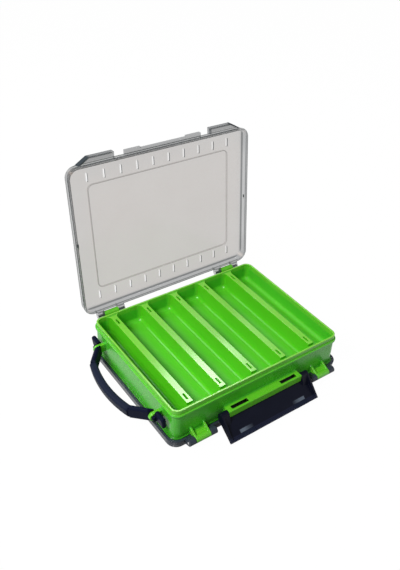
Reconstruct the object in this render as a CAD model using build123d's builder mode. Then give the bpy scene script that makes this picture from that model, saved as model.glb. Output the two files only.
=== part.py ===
import os
from math import radians, tan

from build123d import *

os.makedirs("parts", exist_ok=True)

# Box: X runs along the hinges, the front is at -Y and the lower lid lies on Z = 0.
lip_width = 190.0
lip_depth = 144.0
box_height = 45.0
lip_radius = 7.0
lip_wall = 1.6
bead_drop = 5.0
bead_height = 1.8
bead_reach = 1.5
floor_thickness = 1.8
root_share = 0.5
overrun = 1.0

# Compartments, the same on both faces of the tray.
rib_count = 5
first_bay = 14.4
last_bay = 25.8
rib_width = 6.2
rib_drop = 1.0
rib_end_gap = 3.9
rib_end_drop = 3.0
rib_slot_length = 8.0
rib_slot_width = 2.0
rib_slot_inset = 3.5
rib_slot_depth = 4.0
compartment_radius = 5.0
compartment_draft_angle = 1.5
floor_fillet = 4.4
divider_foot_reach = 3.3
divider_end_inset = 1.4

# Lids.
lid_thickness = 2.0
lid_gap = 0.4
lid_radius = 10.0
lid_edge = 2.2
skirt_height = 8.8
skirt_gap = 2.0
skirt_wall = 1.4
skirt_draft_angle = 6.5
panel_width = 156.0
panel_depth = 108.0
panel_radius = 5.0
panel_step = 0.5
vent_count = 10
vent_pitch = 17.3
vent_row_spacing = 123.6
vent_length = 9.0
vent_width = 1.8
nub_length = 6.0
nub_height = 2.4
nub_reach = 1.2
nub_rise = 1.8
lid_open_angle = 96.3

# Hinges.
hinge_reach = 9.2
hinge_drop = 8.7
knuckle_x = 71.5
knuckle_width = 15.5
knuckle_radius = 3.4
arm_height = 2.0
arm_drop = 0.4
fin_width = 1.8
fin_drop = 4.3
ear_width = 6.5
ear_gap = 0.3
ear_root_height = 5.5
pin_radius = 1.25
pin_clearance = 0.05
pin_proud = 0.3

# Latches and the bar that each one catches.
latch_width = 103.0
latch_gap = 0.4
latch_side_gap = 1.0
latch_thickness = 2.2
latch_corner = 1.2
cheek_width = 2.0
plate_rise = 1.3
latch_ear_width = 8.2
latch_ear_gap = 0.3
latch_ear_radius = 3.2
latch_ear_rise = 10.0
stub_radius = 1.5
stub_clearance = 0.05
stub_length = 3.0
stub_end_gap = 0.4
stub_inset = 2.5
stub_drop = 3.0
shelf_reach = 9.5
shelf_height = 7.0
shelf_drop = 20.6
shelf_slot_end = 5.05
shelf_slot_length = 18.5
shelf_slot_width = 3.6
shelf_slot_inset = 4.0
bar_end_gap = 1.7
bar_height = 3.6
bar_reach = 3.6
block_length = 16.3
block_reach = 4.9
catch_gap = 0.5
tooth_height = 4.3
tooth_reach = 2.9
tooth_flat = 0.4
border_reach = 1.2
border_height = 2.4
tooth_end = 2.6
tooth_length = 15.0
lug_reach = 6.6
lug_height = 5.3
lug_wall = 1.3
lug_corner_x = 78.0
lug_end_x = 97.0
lug_pocket_inset = 0.3
lug_floor = 1.2
front_latch_angle = 124.6
back_latch_angle = 20.0

# Carrying handle on the left wall.
handle_x = 8.0
handle_rise = 2.5
handle_lug_y = 50.5
handle_lug_width = 3.5
handle_lug_radius = 4.2
handle_pin_radius = 2.0
handle_pin_clearance = 0.05
handle_side_gap = 0.3
tab_shift = 3.0
tab_width = 4.4
tab_height = 12.0
tab_length = 11.5
tab_corner = 2.0
tab_end_fillet = 1.4
tab_boss_radius = 2.8
tab_boss_width = 2.5
strap_width = 5.0
slant_share = 0.7
block_height = 14.5
block_root_in = 2.5
block_root_out = 3.4
block_chamfer = 1.6
neck_reach = 13.4
neck_y = 33.3
neck_height = 9.5
bow_reach = 18.0
grip_width = 7.0
grip_height = 10.5
grip_fillet = 2.6
handle_tilt_angle = 8.0

mid_z = box_height / 2
lip_top = box_height - lid_thickness - lid_gap
rib_top = lip_top - rib_drop
floor_top = mid_z + floor_thickness / 2
wall_y = lip_depth / 2
wall_x = lip_width / 2
inner_x = wall_x - lip_wall
inner_y = wall_y - lip_wall
rib_pitch = (2 * inner_x - first_bay - last_bay - rib_width) / (rib_count - 1)
rib_x = [first_bay + rib_width / 2 - inner_x + rib_pitch * i for i in range(rib_count)]
skirt_edge = box_height - skirt_height
skirt_foot = wall_y + skirt_gap + skirt_wall + skirt_height * tan(radians(skirt_draft_angle))
hinge_y = wall_y + hinge_reach
hinge_z = box_height - hinge_drop
shelf_top = lip_top - shelf_drop
shelf_width = latch_width - 2 * (latch_ear_width + latch_ear_gap)
shelf_slot_x = shelf_width / 2 - shelf_slot_end - shelf_slot_length / 2
bar_width = shelf_width - 2 * bar_end_gap
tooth_x = bar_width / 2 - tooth_end - tooth_length / 2
stub_y = wall_y + shelf_reach - stub_inset
stub_z = shelf_top - stub_drop
plate_in = wall_y + shelf_reach + latch_gap
plate_out = plate_in + latch_thickness
catch_z = skirt_edge + bar_height + catch_gap
latch_top = catch_z + tooth_height
handle_axis_x = -wall_x - handle_x
handle_z = mid_z + handle_rise
mid_axis = Axis((0, 0, mid_z), (1, 0, 0))
back_hinge_axis = Axis((0, hinge_y, hinge_z), (1, 0, 0))
front_stub_axis = Axis((0, -stub_y, stub_z), (1, 0, 0))
back_stub_axis = Axis((0, stub_y, box_height - stub_z), (1, 0, 0))
handle_axis = Axis((handle_axis_x, 0, handle_z), (0, 1, 0))

# Pockets of the upper compartments, with rounded feet.
with BuildPart() as pockets:
    left_sides = [-inner_x] + [x + rib_width / 2 for x in rib_x]
    right_sides = [x - rib_width / 2 for x in rib_x] + [inner_x]
    with BuildSketch(Plane((0, 0, rib_top), x_dir=(1, 0, 0), z_dir=(0, 0, -1))):
        for left, right in zip(left_sides, right_sides):
            with Locations(((left + right) / 2, 0)):
                RectangleRounded(right - left, 2 * inner_y, compartment_radius)
    extrude(amount=rib_top - floor_top, taper=compartment_draft_angle)
    fillet(pockets.edges().group_by(Axis.Z)[0], radius=floor_fillet)

# What is open above the floor on one face: pockets, the space under the lid and the gap at each rib's end.
with BuildPart() as hollow:
    add(pockets.part)
    with BuildSketch(Plane.XY.offset(rib_top)):
        RectangleRounded(2 * inner_x, 2 * inner_y, lip_radius - lip_wall)
    extrude(amount=rib_drop + overrun)
    with BuildSketch(Plane.XY.offset(rib_top - rib_end_drop)):
        for x in rib_x:
            with Locations((x, -inner_y)):
                Rectangle(rib_width + 2 * overrun, rib_end_gap, align=(Align.CENTER, Align.MIN))
    extrude(amount=rib_end_drop + overrun)

# The room that the upper dividers take up, between the stubs on the walls.
with BuildPart() as seats:
    with BuildSketch(Plane.XY.offset(floor_top)):
        for x in rib_x:
            with Locations((x, 0)):
                Rectangle(rib_width + 2 * divider_foot_reach, 2 * (inner_y - divider_end_inset))
    extrude(amount=rib_top - floor_top)

# Two back hinge knuckles and the front shelf that carries a latch.
with BuildPart() as fittings:
    for side in (-1, 1):
        start_x = side * knuckle_x - knuckle_width / 2
        with BuildSketch(Plane.YZ.offset(start_x)):
            with Locations((hinge_y, hinge_z)):
                Circle(knuckle_radius)
            with Locations((wall_y - lip_wall * root_share, skirt_edge - arm_drop)):
                Rectangle(hinge_reach + lip_wall * root_share, arm_height, align=(Align.MIN, Align.MAX))
        extrude(amount=knuckle_width)
        for fin_x in (start_x, start_x + knuckle_width - fin_width):
            with BuildSketch(Plane.YZ.offset(fin_x)):
                with BuildLine():
                    Polyline(
                        (wall_y - lip_wall * root_share, skirt_edge - arm_drop),
                        (hinge_y, skirt_edge - arm_drop),
                        (hinge_y, hinge_z - knuckle_radius),
                        (wall_y, hinge_z - knuckle_radius - fin_drop),
                        (wall_y - lip_wall * root_share, hinge_z - knuckle_radius - fin_drop),
                        close=True,
                    )
                make_face()
            extrude(amount=fin_width)
        with BuildSketch(Plane.YZ.offset(start_x)):
            with Locations((hinge_y, hinge_z)):
                Circle(pin_radius)
        extrude(amount=knuckle_width, mode=Mode.SUBTRACT)
    with BuildSketch(Plane.XY.offset(shelf_top)):
        with Locations((0, -wall_y + lip_wall * root_share)):
            Rectangle(shelf_width, shelf_reach + lip_wall * root_share, align=(Align.CENTER, Align.MAX))
        with Locations(
            (-shelf_slot_x, -wall_y - shelf_reach + shelf_slot_inset),
            (shelf_slot_x, -wall_y - shelf_reach + shelf_slot_inset),
        ):
            Rectangle(shelf_slot_length, shelf_slot_width, mode=Mode.SUBTRACT)
    extrude(amount=-shelf_height)
    for start_x in (-shelf_width / 2, shelf_width / 2 - stub_length - stub_end_gap):
        with BuildSketch(Plane.YZ.offset(start_x)):
            with Locations((-stub_y, stub_z)):
                Circle(stub_radius + stub_clearance)
        extrude(amount=stub_length + stub_end_gap, mode=Mode.SUBTRACT)

with BuildPart() as tray:
    with BuildSketch(Plane.XY.offset(box_height - lip_top)):
        RectangleRounded(lip_width, lip_depth, lip_radius)
    extrude(amount=2 * lip_top - box_height)
    with BuildSketch(Plane.XY.offset(lip_top - bead_drop - bead_height)):
        RectangleRounded(lip_width + 2 * bead_reach, lip_depth + 2 * bead_reach, lip_radius + bead_reach)
    extrude(amount=bead_height)
    with BuildSketch(Plane.XY.offset(box_height - lip_top + bead_drop)):
        RectangleRounded(lip_width + 2 * bead_reach, lip_depth + 2 * bead_reach, lip_radius + bead_reach)
    extrude(amount=bead_height)
    add(fittings.part)
    add(fittings.part.rotate(mid_axis, 180))
    for lug_y in (-handle_lug_y, handle_lug_y):
        with BuildSketch(Plane.XZ.offset(lug_y - handle_lug_width / 2)):
            with Locations((handle_axis_x, handle_z)):
                Circle(handle_lug_radius)
                Rectangle(
                    handle_x + lip_wall * root_share, 2 * handle_lug_radius, align=(Align.MIN, Align.CENTER)
                )
                Circle(handle_pin_radius + handle_pin_clearance, mode=Mode.SUBTRACT)
        extrude(amount=handle_lug_width)
    add(hollow.part, mode=Mode.SUBTRACT)
    add(hollow.part.rotate(mid_axis, 180), mode=Mode.SUBTRACT)
    add(seats.part, mode=Mode.SUBTRACT)
    add(seats.part.rotate(mid_axis, 180), mode=Mode.SUBTRACT)
tray.part.label = "tray"
export_step(tray.part, "parts/tray.step")

# The five upright dividers on the upper face, with flared feet and a slot near each end.
with BuildPart() as top_dividers:
    add(seats.part)
    add(hollow.part, mode=Mode.SUBTRACT)
    with BuildSketch(Plane.XY.offset(rib_top - rib_slot_depth)):
        for x in rib_x:
            for end in (-1, 1):
                with Locations((x, end * (inner_y - rib_end_gap - rib_slot_inset - rib_slot_length / 2))):
                    SlotOverall(rib_slot_length, rib_slot_width, rotation=90)
    extrude(amount=rib_slot_depth + overrun, mode=Mode.SUBTRACT)
top_dividers.part.label = "top_dividers"
export_step(top_dividers.part, "parts/top_dividers.step")

with BuildPart() as bottom_dividers:
    add(top_dividers.part.rotate(mid_axis, 180))
bottom_dividers.part.label = "bottom_dividers"
export_step(bottom_dividers.part, "parts/bottom_dividers.step")

# A lid in its closed place on the top of the tray.
with BuildPart() as lid:
    with BuildSketch(Plane((0, 0, box_height), x_dir=(1, 0, 0), z_dir=(0, 0, -1))):
        RectangleRounded(
            lip_width + 2 * (skirt_gap + skirt_wall), lip_depth + 2 * (skirt_gap + skirt_wall), lid_radius
        )
    extrude(amount=skirt_height, taper=-skirt_draft_angle)
    fillet(lid.edges().group_by(Axis.Z)[-1], radius=lid_edge)
    for side in (-1, 1):
        centre_x = side * knuckle_x
        for ear_x in (
            centre_x - knuckle_width / 2 - ear_gap - ear_width,
            centre_x + knuckle_width / 2 + ear_gap,
        ):
            with BuildSketch(Plane.YZ.offset(ear_x)):
                with Locations((hinge_y, hinge_z)):
                    Circle(knuckle_radius)
                with Locations((wall_y + skirt_gap, skirt_edge)):
                    Rectangle(skirt_wall, ear_root_height, align=(Align.MIN, Align.MIN))
                make_hull()
            extrude(amount=ear_width)
            with BuildSketch(Plane.YZ.offset(ear_x)):
                with Locations((hinge_y, hinge_z)):
                    Circle(pin_radius + pin_clearance)
            extrude(amount=ear_width, mode=Mode.SUBTRACT)
    with BuildSketch(Plane.XY.offset(skirt_edge)):
        for side in (-1, 1):
            with BuildLine():
                Polyline(
                    (side * (latch_width / 2 + latch_side_gap), -wall_y),
                    (side * (latch_width / 2 + latch_side_gap), -skirt_foot - lug_reach),
                    (side * lug_corner_x, -skirt_foot - lug_reach),
                    (side * lug_end_x, -wall_y),
                    close=True,
                )
            make_face()
    extrude(amount=lug_height)
    with BuildSketch(Plane.XY.offset(skirt_edge)):
        with Locations((0, -wall_y)):
            Rectangle(bar_width, skirt_foot - wall_y + bar_reach, align=(Align.CENTER, Align.MAX))
        for side in (-1, 1):
            with Locations((side * (bar_width - block_length) / 2, -wall_y)):
                Rectangle(block_length, skirt_foot - wall_y + block_reach, align=(Align.CENTER, Align.MAX))
    extrude(amount=bar_height)
    pocket_in = skirt_foot + lug_pocket_inset
    pocket_out = skirt_foot + lug_reach - lug_wall
    pocket_run = (pocket_out - pocket_in) * (lug_end_x - lug_corner_x) / (skirt_foot + lug_reach - wall_y)
    with BuildSketch(Plane.XY.offset(skirt_edge - overrun)):
        for side in (-1, 1):
            with BuildLine():
                Polyline(
                    (side * (latch_width / 2 + latch_side_gap + lug_wall), -pocket_in),
                    (side * (latch_width / 2 + latch_side_gap + lug_wall), -pocket_out),
                    (side * (lug_corner_x - lug_wall * root_share), -pocket_out),
                    (side * (lug_corner_x - lug_wall * root_share + pocket_run), -pocket_in),
                    close=True,
                )
            make_face()
    extrude(amount=lug_height - lug_floor + overrun, mode=Mode.SUBTRACT)
    with BuildSketch(Plane.XY.offset(skirt_edge)):
        RectangleRounded(lip_width + 2 * skirt_gap, lip_depth + 2 * skirt_gap, lip_radius + skirt_gap)
    extrude(amount=skirt_height - lid_thickness, mode=Mode.SUBTRACT)
    with BuildSketch(Plane.XY.offset(box_height - lid_thickness)):
        RectangleRounded(panel_width, panel_depth, panel_radius)
    extrude(amount=panel_step, mode=Mode.SUBTRACT)
    with BuildSketch(Plane.XY.offset(box_height - lid_thickness)):
        with GridLocations(vent_pitch, vent_row_spacing, vent_count, 2):
            SlotOverall(vent_length, vent_width, rotation=90)
    extrude(amount=lid_thickness + overrun, mode=Mode.SUBTRACT)
    with BuildSketch(Plane.XZ.offset(-nub_length / 2)):
        for side in (-1, 1):
            face_x = side * (wall_x + skirt_gap)
            with BuildLine():
                Polyline(
                    (face_x + side * skirt_wall * root_share, skirt_edge + nub_rise),
                    (face_x - side * nub_reach, skirt_edge + nub_rise),
                    (face_x, skirt_edge + nub_rise + nub_height),
                    (face_x + side * skirt_wall * root_share, skirt_edge + nub_rise + nub_height),
                    close=True,
                )
            make_face()
    extrude(amount=nub_length)

with BuildPart() as top_lid:
    add(lid.part.rotate(back_hinge_axis, -lid_open_angle))
top_lid.part.label = "top_lid"
export_step(top_lid.part, "parts/top_lid.step")

with BuildPart() as bottom_lid:
    add(lid.part.rotate(mid_axis, 180))
bottom_lid.part.label = "bottom_lid"
export_step(bottom_lid.part, "parts/bottom_lid.step")

pin_length = knuckle_width + 2 * (ear_gap + ear_width + pin_proud)

with BuildPart() as top_left_hinge_pin:
    with BuildSketch(Plane.YZ.offset(-knuckle_x - pin_length / 2)):
        with Locations((hinge_y, hinge_z)):
            Circle(pin_radius)
    extrude(amount=pin_length)
top_left_hinge_pin.part.label = "top_left_hinge_pin"
export_step(top_left_hinge_pin.part, "parts/top_left_hinge_pin.step")

with BuildPart() as top_right_hinge_pin:
    with BuildSketch(Plane.YZ.offset(knuckle_x - pin_length / 2)):
        with Locations((hinge_y, hinge_z)):
            Circle(pin_radius)
    extrude(amount=pin_length)
top_right_hinge_pin.part.label = "top_right_hinge_pin"
export_step(top_right_hinge_pin.part, "parts/top_right_hinge_pin.step")

with BuildPart() as bottom_left_hinge_pin:
    with BuildSketch(Plane.YZ.offset(-knuckle_x - pin_length / 2)):
        with Locations((-hinge_y, box_height - hinge_z)):
            Circle(pin_radius)
    extrude(amount=pin_length)
bottom_left_hinge_pin.part.label = "bottom_left_hinge_pin"
export_step(bottom_left_hinge_pin.part, "parts/bottom_left_hinge_pin.step")

with BuildPart() as bottom_right_hinge_pin:
    with BuildSketch(Plane.YZ.offset(knuckle_x - pin_length / 2)):
        with Locations((-hinge_y, box_height - hinge_z)):
            Circle(pin_radius)
    extrude(amount=pin_length)
bottom_right_hinge_pin.part.label = "bottom_right_hinge_pin"
export_step(bottom_right_hinge_pin.part, "parts/bottom_right_hinge_pin.step")

# A latch in its closed place on the front.
with BuildPart() as latch:
    plate_foot = shelf_top + plate_rise
    with BuildSketch(Plane.XZ.offset(plate_in)):
        with Locations((0, (plate_foot + latch_top) / 2)):
            RectangleRounded(latch_width, latch_top - plate_foot, latch_corner)
    extrude(amount=latch_thickness)
    with BuildSketch(Plane.XZ.offset(plate_in - border_reach)):
        with Locations((0, latch_top)):
            Rectangle(latch_width - 2 * latch_corner, border_height, align=(Align.CENTER, Align.MAX))
    extrude(amount=border_reach + latch_thickness * root_share)
    for side in (-1, 1):
        with BuildSketch(Plane.YZ.offset(side * tooth_x - tooth_length / 2)):
            with BuildLine():
                Polyline(
                    (-plate_in - latch_thickness * root_share, catch_z),
                    (-plate_in, catch_z),
                    (-plate_in + tooth_reach, latch_top - tooth_flat),
                    (-plate_in + tooth_reach, latch_top),
                    (-plate_in - latch_thickness * root_share, latch_top),
                    close=True,
                )
            make_face()
        extrude(amount=tooth_length)
    ear_in = shelf_width / 2 + latch_ear_gap
    ear_out = latch_width / 2
    for ear_x in (-ear_out, ear_in):
        with BuildSketch(Plane.YZ.offset(ear_x)):
            with Locations((-stub_y, stub_z)):
                Circle(latch_ear_radius)
            with Locations((-plate_out, stub_z)):
                Rectangle(latch_thickness, latch_ear_rise, align=(Align.MIN, Align.MIN))
            make_hull()
        extrude(amount=ear_out - ear_in)
    for cheek_x in (-ear_out, ear_out - cheek_width):
        with BuildSketch(Plane.YZ.offset(cheek_x)):
            with Locations((-stub_y, stub_z)):
                Circle(latch_ear_radius)
            with Locations((-plate_out, latch_top)):
                Rectangle(latch_thickness + border_reach, border_height, align=(Align.MIN, Align.MAX))
            make_hull()
        extrude(amount=cheek_width)
    for stub_x in (-ear_in - latch_ear_gap, ear_in - latch_ear_gap - stub_length):
        with BuildSketch(Plane.YZ.offset(stub_x)):
            with Locations((-stub_y, stub_z)):
                Circle(stub_radius)
        extrude(amount=stub_length + 2 * latch_ear_gap)

with BuildPart() as front_latch:
    add(latch.part.rotate(front_stub_axis, front_latch_angle))
front_latch.part.label = "front_latch"
export_step(front_latch.part, "parts/front_latch.step")

with BuildPart() as back_latch:
    add(latch.part.rotate(mid_axis, 180).rotate(back_stub_axis, back_latch_angle))
back_latch.part.label = "back_latch"
export_step(back_latch.part, "parts/back_latch.step")

# The bowed grip of the handle, lying level.
with BuildPart() as grip:
    with BuildSketch(Plane.XY.offset(handle_z - grip_height / 2)):
        with BuildLine():
            ThreePointArc(
                (handle_axis_x - neck_reach, -neck_y),
                (handle_axis_x - bow_reach, 0),
                (handle_axis_x - neck_reach, neck_y),
            )
        trace(line_width=grip_width)
    extrude(amount=grip_height)
    fillet(grip.edges().filter_by(GeomType.CIRCLE), radius=grip_fillet)

# The tall faceted blocks between the grip and its pivots.
with BuildPart() as blocks:
    boss_y = handle_lug_y - handle_lug_width / 2 - handle_side_gap
    slant = strap_width / 2 * slant_share
    with BuildSketch(Plane.XY.offset(handle_z - block_height / 2)):
        for side in (-1, 1):
            with BuildLine():
                Polyline(
                    (handle_axis_x + block_root_in, side * boss_y),
                    (handle_axis_x - block_root_out, side * boss_y),
                    (handle_axis_x - neck_reach - slant, side * (neck_y + slant)),
                    (handle_axis_x - neck_reach + slant, side * (neck_y - slant)),
                    close=True,
                )
            make_face()
    extrude(amount=block_height)
    chamfer(blocks.edges().group_by(Axis.Z)[-1] + blocks.edges().group_by(Axis.Z)[0], length=block_chamfer)

# The end tabs, beyond the lugs.
with BuildPart() as tabs:
    head_y = handle_lug_y + handle_lug_width / 2 + handle_side_gap
    for end_y in (-head_y, head_y + tab_length):
        with BuildSketch(Plane.XZ.offset(-end_y)):
            with Locations((handle_axis_x + tab_shift, handle_z)):
                RectangleRounded(tab_width, tab_height, tab_corner)
        extrude(amount=tab_length)
    fillet(tabs.edges().group_by(Axis.Y)[0] + tabs.edges().group_by(Axis.Y)[-1], radius=tab_end_fillet)

with BuildPart() as level_handle:
    add(grip.part)
    add(blocks.part)
    add(tabs.part)
    with BuildSketch(Plane.XY.offset(handle_z - neck_height / 2)):
        with Locations((handle_axis_x - neck_reach, -neck_y), (handle_axis_x - neck_reach, neck_y)):
            Circle(strap_width / 2)
    extrude(amount=neck_height)
    for boss_end in (-head_y, head_y + tab_boss_width):
        with BuildSketch(Plane.XZ.offset(-boss_end)):
            with Locations((handle_axis_x, handle_z)):
                Circle(tab_boss_radius)
        extrude(amount=tab_boss_width)
    for pin_y in (-boss_y + overrun, head_y + overrun):
        with BuildSketch(Plane.XZ.offset(-pin_y)):
            with Locations((handle_axis_x, handle_z)):
                Circle(handle_pin_radius)
        extrude(amount=head_y - boss_y + 2 * overrun)

with BuildPart() as handle:
    add(level_handle.part.rotate(handle_axis, -handle_tilt_angle))
handle.part.label = "handle"
export_step(handle.part, "parts/handle.step")
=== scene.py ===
import math

import bpy
from mathutils import Matrix, Vector

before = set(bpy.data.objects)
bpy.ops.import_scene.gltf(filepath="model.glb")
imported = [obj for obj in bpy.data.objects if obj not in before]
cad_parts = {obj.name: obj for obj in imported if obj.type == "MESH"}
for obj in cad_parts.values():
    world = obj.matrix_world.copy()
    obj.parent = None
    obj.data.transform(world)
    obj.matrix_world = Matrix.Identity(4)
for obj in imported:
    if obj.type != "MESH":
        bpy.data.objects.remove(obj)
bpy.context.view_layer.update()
print("frame loaded:", len(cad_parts), "nodes")


class Wire:  # a socket that takes part in sums
    def __init__(self, bench, socket):
        self.bench, self.socket = bench, socket

    def sum(self, operation, first, second=0.0):
        return self.bench.add("ShaderNodeMath", {"operation": operation}, {0: first, 1: second})

    def __add__(self, other):
        return self.sum("ADD", self, other)

    def __radd__(self, other):
        return self.sum("ADD", other, self)

    def __sub__(self, other):
        return self.sum("SUBTRACT", self, other)

    def __rsub__(self, other):
        return self.sum("SUBTRACT", other, self)

    def __mul__(self, other):
        return self.sum("MULTIPLY", self, other)

    def __rmul__(self, other):
        return self.sum("MULTIPLY", other, self)

    def __abs__(self):
        return self.sum("ABSOLUTE", self)

    def root(self):
        return self.sum("SQRT", self)

    def part(self):  # what is past the last whole number
        return self.sum("FRACT", self)

    def most(self, other):
        return self.sum("MAXIMUM", self, other)

    def least(self, other):
        return self.sum("MINIMUM", self, other)

    def rise(self, low, high):  # 0 below low, 1 above high
        smooth = {"interpolation_type": "SMOOTHSTEP"}
        return self.bench.add("ShaderNodeMapRange", smooth, {0: self, 1: low, 2: high})

    def fall(self, low, high):  # 1 below low, 0 above high
        return 1.0 - self.rise(low, high)

    def band(self, start, end):  # 1 between two soft ends
        return self.rise(*start) * self.fall(*end)


class Bench:  # the node tree of one material or of the world
    def __init__(self, owner):
        owner.use_nodes = True
        self.tree = owner.node_tree
        self.tree.nodes.clear()

    def add(self, kind, settings=None, sockets=None, out=0):
        node = self.tree.nodes.new(kind)
        for key, value in (settings or {}).items():
            setattr(node, key, value)
        for key, value in (sockets or {}).items():
            if isinstance(value, Wire):
                self.tree.links.new(value.socket, node.inputs[key])
            else:
                node.inputs[key].default_value = value
        return Wire(self, node.outputs[out]) if len(node.outputs) else None


def newMaterial(name):
    material = bpy.data.materials.new(name)
    return Bench(material), material


def surface(bench, sockets):
    shader = bench.add("ShaderNodeBsdfPrincipled", {}, sockets)
    bench.add("ShaderNodeOutputMaterial", {}, {"Surface": shader})


def places(bench, stretch=(1, 1, 1)):
    spot = bench.add("ShaderNodeTexCoord", out="Object")
    return bench.add("ShaderNodeMapping", {}, {"Vector": spot, "Scale": stretch})


def axes(bench, where):
    return [bench.add("ShaderNodeSeparateXYZ", {}, {0: where}, out=axis) for axis in "XYZ"]


def grain(bench, where, size, detail=3.0):
    sockets = {"Vector": where, "Scale": 1 / size, "Detail": detail, "Roughness": 0.55}
    return bench.add("ShaderNodeTexNoise", {}, sockets)


# sockets 6, 7 and 2 are the colour ones of a Mix node
def laid(bench, mask, below, above, blend="MIX"):
    settings = {"data_type": "RGBA", "blend_type": blend}
    return bench.add("ShaderNodeMix", settings, {0: mask, 6: below, 7: (*above, 1)}, out=2)


def tint(bench, mask, dark, light):
    return laid(bench, mask, (*dark, 1), light)


# a fine bump over softened edges
def rounded(bench, radius, height, depth, strength):
    soft = bench.add("ShaderNodeBevel", {"samples": 6}, {"Radius": radius})
    sockets = {"Strength": strength, "Distance": depth, "Height": height, "Normal": soft}
    return bench.add("ShaderNodeBump", {}, sockets)


# lengths are in metres, and a pair of them is the two ends of a soft step
trayGreen = dict(
    name="trayPlastic",
    # the pale green is painted highlight on the lips, the wall's bands and the fittings
    deep=(0.072, 0.48, 0.008), bright=(0.098, 0.55, 0.012), highlightTint=(0.19, 0.56, 0.040),
    wallShadeTint=(0.74, 0.93, 2.0), footShadeTint=(0.42, 0.46, 0.42),  # painted shade and cool reflection times the outer wall's green, painted shade times its foot's
    cloud=0.045, speck=0.0011,  # sizes of the two grains
    edge=0.0008, bump=(0.00003, 0.08),  # edge radius, then depth and strength of the specks
    gloss=0.19, cloudRough=0.1, speckRough=0.06, dull=0.34,  # dull is for the compartments
    index=1.52, seep=0.3, seepReach=(0.25, 1.0, 0.15), seepDepth=0.003,
    middle=0.0225, inner=(0.0930, 0.0700),  # mid height, and half sizes of the wall's inside
    lining=(-0.0006, 0.0004), rim=(0.0034, 0.0042),  # past the inside: the wall, then its fittings
    low=(0.0080, 0.0135),  # heights at which the painted shade at the foot ends
    thin=(0.0190, 0.0200), lipBand=(0.0142, 0.0158),  # from mid height: lips, then the wall's bands of painted highlight
    # strengths of the painted highlight on the wall's bands and on the fittings
    lipHighlight=0.5, fittingHighlight=0.35,
    slotX=((0.01938, 0.01942), (0.03798, 0.03802)),  # painted shade inside the shelves' slots
    slotY=((0.07563, 0.07567), (0.07933, 0.07937)),
    slotShadeColour=(0, 0, 0), slotShade=0.95,
)
# on the dividers the pale green is painted highlight on the rib tops
dividerGreen = dict(
    trayGreen, name="dividerPlastic", highlightTint=(0.165, 0.55, 0.030), edge=0.0003, gloss=0.17, dull=0.07,
    thin=(0.0186, 0.0190),
)


def trayPlastic(look):
    bench, material = newMaterial(look["name"])
    where = places(bench)
    cloud = grain(bench, where, look["cloud"])
    speck = grain(bench, where, look["speck"], detail=2.0)
    sideways, lengthways, up = axes(bench, where)
    across, along, far = abs(sideways), abs(lengthways), abs(up - look["middle"])
    beyond = (across - look["inner"][0]).most(along - look["inner"][1])
    within, fittings = beyond.fall(*look["lining"]), beyond.rise(*look["rim"])
    wall = (1.0 - within) * (1.0 - fittings)
    # painted shade at the foot of the outer wall
    foot = wall * up.fall(*look["low"])
    paintedHighlight = far.rise(*look["thin"]).most(look["lipHighlight"] * wall * far.rise(*look["lipBand"]))
    paintedHighlight = paintedHighlight.most(look["fittingHighlight"] * fittings)  # thin edges, the wall's bands and the fittings get a painted highlight
    # painted shade inside the shelves' slots
    slots = across.band(*look["slotX"]) * along.band(*look["slotY"])
    colour = tint(bench, cloud, look["deep"], look["bright"])
    # painted shade and cool reflection on the outer wall, then painted shade at its foot
    colour = laid(bench, wall, colour, look["wallShadeTint"], "MULTIPLY")
    colour = laid(bench, foot, colour, look["footShadeTint"], "MULTIPLY")
    colour = laid(bench, paintedHighlight, colour, look["highlightTint"])
    colour = laid(bench, look["slotShade"] * slots, colour, look["slotShadeColour"])
    rough = look["gloss"] + look["cloudRough"] * cloud + look["speckRough"] * speck
    surface(
        bench,
        {
            "Base Color": colour,
            "Roughness": rough + look["dull"] * within * (1.0 - paintedHighlight),
            "Normal": rounded(bench, look["edge"], speck, *look["bump"]),
            "IOR": look["index"],
            "Subsurface Weight": look["seep"],
            "Subsurface Radius": look["seepReach"],
            "Subsurface Scale": look["seepDepth"],
        },
    )
    return material


# both lids, with their places as on the closed top lid
lidPlan = dict(
    wall=(0.095, 0.072),  # half sizes of the skirt's inside
    skirt=(0.0, 0.0012), lugs=(0.0046, 0.0052), lugEdge=(0.0094, 0.0102),  # past the inside
    latchSide=(-0.001, 0.001), barEnd=(0.046, 0.050),  # lugs on the other side are hinge ears
    slantFrom=(0.078, 0.083), slantWay=(0.50, 0.866),  # the lugs' slanted ends
    slant=(-0.0018, -0.0010), slantX=(0.072, 0.079),
    foot=(0.0366, 0.0371), footEdge=(0.0034, 0.0040),  # the face that shuts on the tray
    groove=0.0022, grooveHalf=(0.0002, 0.0005),
    crownUp=(0.0430, 0.0441), crownOut=(0.0014, 0.0026),  # the outer edge round the plate
    bendX=(0.086, 0.094), bendY=(0.063, 0.071),  # the skirt's corners
    panel=(0.078, 0.054), corner=0.005, line=(0.0002, 0.0006),  # the line round the panel
    plate=((0.04312, 0.0434), (0.0446, 0.0449)),  # heights of the vents' walls
    ventPitch=0.0173, ventMiddle=(0.51, 0.53),  # the middle is a share of the pitch
    ventOut=(-0.003, -0.001), ventIn=(0.001, 0.002),
    nubOut=((0.0005, 0.0007), (0.0018, 0.0019)), nubAlong=(0.0015, 0.0018),
    nubUp=((0.0376, 0.0379), (0.0404, 0.0407)),
    fadeUp=(0.0375, 0.0405), fadeAlong=(0.042, 0.060),  # the sides are clearer half way along
    crownShade=0.9, lugEdgeShade=0.55, barShade=0.26, barEndShade=0.08, slantShade=1.55,
    ventShade=1.3, ventLit=0.9, nubShade=1.5, lineShade=0.5,
    wave=0.006, edge=0.0006, bump=(0.00004, 0.12),
    cloudRough=0.12, cloudDense=0.05, index=1.52,
)
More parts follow.
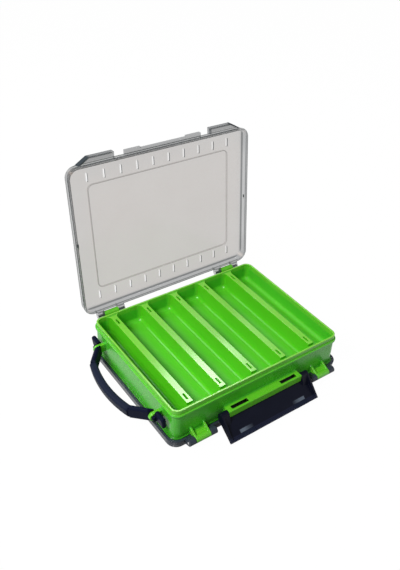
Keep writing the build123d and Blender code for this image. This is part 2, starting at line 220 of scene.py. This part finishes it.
topSmoke = dict(
    lidPlan, name="topLidPlastic",
    dark=(0.20, 0.105, 0.050), light=(0.27, 0.155, 0.082), rimTint=(0.024, 0.034, 0.042),
    cloud=0.07, gloss=0.12, shine=0.5, clear=0.245, dense=0.72,  # alpha of the plate, of the edges
    skirtShade=0.16, bendShade=0.25, footShade=0.35, earShade=0.2, fade=0.8,
    turn=96.3, hinge=(0.0, 0.0812, 0.0363), seat=(0.0, 0.0812, 0.0363),
)
# the same smoky plastic as the top lid, painted darker and denser as shade under the tray
bottomSmoke = dict(
    lidPlan, name="bottomLidPlastic",
    dark=(0.05, 0.05, 0.048), light=(0.08, 0.078, 0.072), rimTint=(0.034, 0.045, 0.062),
    cloud=0.05, gloss=0.14, shine=0.22, clear=0.26, dense=0.93,
    skirtShade=0.95, bendShade=0.95, footShade=0.9, earShade=0.9, fade=0.0,
    turn=180.0, hinge=(0.0, 0.0, 0.0225), seat=(0.0, 0.0, 0.0225),
)


# where a point lies once its piece is turned to the closed top lid or front latch
def shutPlace(bench, look):
    angle = math.radians(look["turn"])
    turn = Matrix.Rotation(angle, 3, "X")
    sockets = {
        "Vector": bench.add("ShaderNodeTexCoord", out="Object"),
        "Location": Vector(look["seat"]) - turn @ Vector(look["hinge"]),
        "Rotation": (angle, 0, 0),
    }
    return axes(bench, bench.add("ShaderNodeMapping", {}, sockets))


# distance outside a rectangle with rounded corners
def offRounded(across, along, half, corner):
    past = [side - (reach - corner) for side, reach in zip((across, along), half)]
    out = [step.most(0.0) for step in past]
    outside = (out[0] * out[0] + out[1] * out[1]).root()
    return outside + past[0].most(past[1]).least(0.0) - corner


# clear plastic looks dark where light has a long way through it
def lidShade(bench, look):
    sideways, lengthways, up = shutPlace(bench, look)
    across, along = abs(sideways), abs(lengthways)
    beyond = (across - look["wall"][0]).most(along - look["wall"][1])
    skirt, lugs = beyond.rise(*look["skirt"]), beyond.rise(*look["lugs"])
    bend = across.rise(*look["bendX"]) * along.rise(*look["bendY"]) * skirt
    fade = 1.0 - look["fade"] * up.rise(*look["fadeUp"]) * along.fall(*look["fadeAlong"])
    crown = up.rise(*look["crownUp"]) * beyond.rise(*look["crownOut"])
    foot = up.fall(*look["foot"]) * (1.0 - lugs)
    groove = abs(beyond - look["groove"]).fall(*look["grooveHalf"])
    footLines = groove.most(beyond.rise(*look["footEdge"]))

    latchSide = lengthways.fall(*look["latchSide"])
    latchLugs, ears = lugs * latchSide, lugs * (1.0 - latchSide)
    lugEdge = beyond.rise(*look["lugEdge"]) * latchSide
    bars = look["barShade"] + look["barEndShade"] * across.rise(*look["barEnd"])
    steps = zip((across, along), look["slantFrom"], look["slantWay"])
    slantX, slantY = ((place - start) * way for place, start, way in steps)
    slant = (slantX + slantY).rise(*look["slant"]) * across.rise(*look["slantX"])

    offPanel = offRounded(across, along, look["panel"], look["corner"])
    line = abs(offPanel).fall(*look["line"])
    ventWalls = up.band(*look["plate"]) * beyond.fall(*look["ventOut"]) * offPanel.rise(*look["ventIn"])
    ventSide = (sideways * (1.0 / look["ventPitch"])).part().rise(*look["ventMiddle"])
    nubs = beyond.band(*look["nubOut"]) * along.fall(*look["nubAlong"]) * up.band(*look["nubUp"])

    shade = foot * (look["footShade"] + (1.0 - look["footShade"]) * footLines)
    for other in (
        crown * look["crownShade"],
        lugEdge * look["lugEdgeShade"],
        latchLugs * bars,
        latchLugs * slant * look["slantShade"],
        ears * look["earShade"],
        ventWalls * ventSide * look["ventShade"],
        nubs * look["nubShade"],
        line * look["lineShade"],
        skirt * look["skirtShade"] * fade,
        bend * look["bendShade"],
    ):
        shade = shade.most(other)
    return shade, skirt, ventWalls * (1.0 - ventSide)


def lidPlastic(look):
    bench, material = newMaterial(look["name"])
    where = places(bench)
    cloud = grain(bench, where, look["cloud"], detail=4.0)
    wave = grain(bench, where, look["wave"], detail=2.0)
    shade, skirt, lit = lidShade(bench, look)
    body = tint(bench, cloud, look["dark"], look["light"])
    dense = look["clear"] + look["cloudDense"] * cloud + shade * (look["dense"] - look["clear"])
    surface(
        bench,
        {
            "Base Color": laid(bench, shade.most(skirt), body, look["rimTint"]),
            "Roughness": look["gloss"] + look["cloudRough"] * cloud,
            "Alpha": dense * (1.0 - look["ventLit"] * lit),
            "Normal": rounded(bench, look["edge"], wave, *look["bump"]),
            "IOR": look["index"],
            "Specular IOR Level": look["shine"],
        },
    )
    return material


pinWire = dict(
    dull=(0.66, 0.66, 0.67), bright=(0.82, 0.82, 0.83), streak=0.0006, drawn=(0.08, 1, 1),
    edge=0.0002, bump=(0.00002, 0.3), gloss=0.40, streakRough=0.16,
)


def pinSteel(look):
    bench, material = newMaterial("pinSteel")
    streak = grain(bench, places(bench, look["drawn"]), look["streak"], detail=4.0)
    surface(
        bench,
        {
            "Base Color": tint(bench, streak, look["dull"], look["bright"]),
            "Metallic": 1.0,
            "Roughness": look["gloss"] + look["streakRough"] * streak,
            "Normal": rounded(bench, look["edge"], streak, *look["bump"]),
        },
    )
    return material


navy = dict(bump=(0.00004, 0.4), cloudRough=0.14, speckRough=0.08)
frontNavy = dict(
    navy, name="frontLatchPlastic",
    deep=(0.0030, 0.0040, 0.0105), bright=(0.0052, 0.0064, 0.0165),
    cloud=0.02, speck=0.0007, edge=0.0006, gloss=0.26, shine=0.14,
    border=(0.0100, 0.0125, 0.031), borderUp=(0.0402, 0.0405),
    patch=(0.11, 0.135, 0.175),
    patchX=((0.0238, 0.0241), (0.0383, 0.0386)), patchY=(-0.0836, -0.0832),
    patchUp=((0.0366, 0.0370), (0.0397, 0.0402)),
    patchFade=(0.0215, 0.0345), wear=0.006, wearStep=(0.25, 0.65), wearLeast=0.7,
    turn=-124.6, hinge=(0.0, -0.079, 0.019), seat=(0.0, -0.079, 0.019),
)
backNavy = dict(frontNavy, name="backLatchPlastic", turn=-200.0, hinge=(0.0, 0.079, 0.026))
handleNavy = dict(
    navy, name="handlePlastic",
    deep=(0.0030, 0.0044, 0.0150), bright=(0.0060, 0.0085, 0.0280),
    cloud=0.014, speck=0.0009, edge=0.0009, gloss=0.32, shine=0.045,
    # the painted sheen on the grip, and where along the handle it ends
    held=(0.0120, 0.0165, 0.0340), grip=(0.030, 0.035),
)


def darkPlastic(look, marked):
    bench, material = newMaterial(look["name"])
    where = places(bench)
    cloud = grain(bench, where, look["cloud"])
    speck = grain(bench, where, look["speck"], detail=2.0)
    body = tint(bench, cloud, look["deep"], look["bright"])
    surface(
        bench,
        {
            "Base Color": marked(bench, look, body),
            "Roughness": look["gloss"] + look["cloudRough"] * cloud + look["speckRough"] * speck,
            "Specular IOR Level": look["shine"],
            "Normal": rounded(bench, look["edge"], speck, *look["bump"]),
        },
    )
    return material


# a latch's plate has a paler lip and two pale patches
def latchMarks(bench, look, colour):
    sideways, lengthways, up = shutPlace(bench, look)
    across = abs(sideways)
    patch = across.band(*look["patchX"]) * up.band(*look["patchUp"]) * lengthways.rise(*look["patchY"])
    # a grain mottles the pale patches
    wear = grain(bench, places(bench), look["wear"], detail=2.0).rise(*look["wearStep"])
    patchMottle = look["wearLeast"] + (1.0 - look["wearLeast"]) * wear
    colour = laid(bench, up.rise(*look["borderUp"]), colour, look["border"])
    return laid(bench, patch * across.rise(*look["patchFade"]) * patchMottle, colour, look["patch"])


# the grip is painted paler, as a painted sheen
def paintedGripSheen(bench, look, colour):
    along = abs(bench.add("ShaderNodeSeparateXYZ", {}, {0: places(bench)}, out="Y"))
    return laid(bench, along.fall(*look["grip"]), colour, look["held"])


def dress(material, *names):
    for name in names:
        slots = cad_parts[name].data.materials
        slots.clear()
        slots.append(material)


dress(trayPlastic(trayGreen), "tray")
dress(trayPlastic(dividerGreen), "top_dividers", "bottom_dividers")
dress(lidPlastic(topSmoke), "top_lid")
dress(lidPlastic(bottomSmoke), "bottom_lid")
dress(
    pinSteel(pinWire),
    "top_left_hinge_pin",
    "top_right_hinge_pin",
    "bottom_left_hinge_pin",
    "bottom_right_hinge_pin",
)
dress(darkPlastic(frontNavy, latchMarks), "front_latch")
dress(darkPlastic(backNavy, latchMarks), "back_latch")
dress(darkPlastic(handleNavy, paintedGripSheen), "handle")
print("materials set")


# white paper that keeps the shadow; a painted shadow dims its reflection in front of the box
table = dict(
    size=4.0, drop=0.0002, paper=(0.25, 0.25, 0.25), white=0.95, glow=1.04,
    dim=0.12, dimMiddle=(-0.02, -0.10), dimReach=(0.09, 0.05), dimEdge=(0.4, 1.6),
)


def rays(bench):
    kinds = ("Is Camera Ray", "Is Glossy Ray", "Is Transmission Ray")
    return [bench.add("ShaderNodeLightPath", out=kind) for kind in kinds]


def makeTable(spec):
    bpy.ops.object.select_all(action="DESELECT")
    bpy.ops.mesh.primitive_plane_add(size=spec["size"], location=(0, 0, -spec["drop"]))
    floor = bpy.context.object
    floor.name = "tableTop"
    bpy.ops.object.transform_apply(location=True, rotation=True, scale=True)
    bench, material = newMaterial("tablePaper")
    seen, mirrored, through = rays(bench)
    spot = bench.add("ShaderNodeTexCoord", out="Object")
    steps = zip(axes(bench, spot), spec["dimMiddle"], spec["dimReach"])
    offX, offY = ((place - middle) * (1.0 / reach) for place, middle, reach in steps)
    # a painted shadow in the table's reflection, in front of the box
    plain = (offX * offX + offY * offY).rise(*spec["dimEdge"])
    white = seen.most(through).most(mirrored * (spec["dim"] + (1.0 - spec["dim"]) * plain))
    paper = bench.add("ShaderNodeBsdfDiffuse", {}, {"Color": (*spec["paper"], 1)})
    glow = bench.add("ShaderNodeEmission", {}, {"Color": (1, 1, 1, 1), "Strength": spec["glow"]})
    mixed = bench.add("ShaderNodeMixShader", {}, {0: white * spec["white"], 1: paper, 2: glow})
    bench.add("ShaderNodeOutputMaterial", {}, {"Surface": mixed})
    floor.data.materials.append(material)


makeTable(table)
print("table laid")


# sky is the room's light, gleam is what glossy plastic sees of it
studio = dict(
    sky=0.28,
    gleam=0.3,
    key=dict(place=(-0.84, -0.12, 0.96), aim=(0.0, 0.0, 0.03), size=0.35, power=14.5),
    fill=dict(place=(0.90, -0.80, 0.35), aim=(0.0, 0.0, 0.03), size=0.8, power=2.0),
    back=dict(place=(0.445, 0.60, 0.90), aim=(0.0, -0.02, 0.04), size=0.15, power=3.1),
    side=dict(place=(-0.60, 0.75, 0.75), aim=(0.0, 0.0, 0.03), size=0.3, power=3.0),
)


def makeStudio(spec):
    world = bpy.data.worlds.new("softRoom")
    bpy.context.scene.world = world
    bench = Bench(world)
    seen, mirrored, through = rays(bench)
    strength = spec["sky"] + (1.0 - spec["sky"]) * seen.most(through)
    strength = strength + (spec["gleam"] - spec["sky"]) * mirrored
    sky = bench.add("ShaderNodeBackground", {}, {"Color": (1, 1, 1, 1), "Strength": strength})
    bench.add("ShaderNodeOutputWorld", {}, {"Surface": sky})
    for name in ("key", "fill", "back", "side"):
        lamp = spec[name]
        way = Vector(lamp["aim"]) - Vector(lamp["place"])
        light = bpy.data.lights.new(name + "Lamp", "AREA")
        light.shape, light.size, light.energy = "SQUARE", lamp["size"], lamp["power"]
        holder = bpy.data.objects.new(name + "Lamp", light)
        holder.location = lamp["place"]
        holder.rotation_euler = way.to_track_quat("-Z", "Y").to_euler()
        bpy.context.scene.collection.objects.link(holder)
    bpy.context.scene.view_settings.view_transform = "Standard"


makeStudio(studio)
print("studio lit")


camera = dict(
    turn=-39.70, rise=36.65, roll=5.05, place=(-0.30997, -0.38798, 0.46473),
    lens=42.07, sensor=36.0, shift=-0.0526, clip=(0.01, 20.0),
)


def makeCamera(spec):
    turn, rise, roll = (math.radians(spec[key]) for key in ("turn", "rise", "roll"))
    level = math.cos(rise)
    back = Vector((math.sin(turn) * level, -math.cos(turn) * level, math.sin(rise)))
    side = Vector((0, 0, 1)).cross(back).normalized()
    up = back.cross(side)
    right = math.cos(roll) * side + math.sin(roll) * up
    up = -math.sin(roll) * side + math.cos(roll) * up
    data = bpy.data.cameras.new("photoCamera")
    data.lens, data.sensor_width, data.shift_x = spec["lens"], spec["sensor"], spec["shift"]
    data.clip_start, data.clip_end = spec["clip"]
    holder = bpy.data.objects.new("photoCamera", data)
    turnTo = Matrix((right, up, back)).transposed().to_4x4()
    holder.matrix_world = Matrix.Translation(Vector(spec["place"])) @ turnTo
    bpy.context.scene.collection.objects.link(holder)
    bpy.context.scene.camera = holder


makeCamera(camera)
print("camera set")
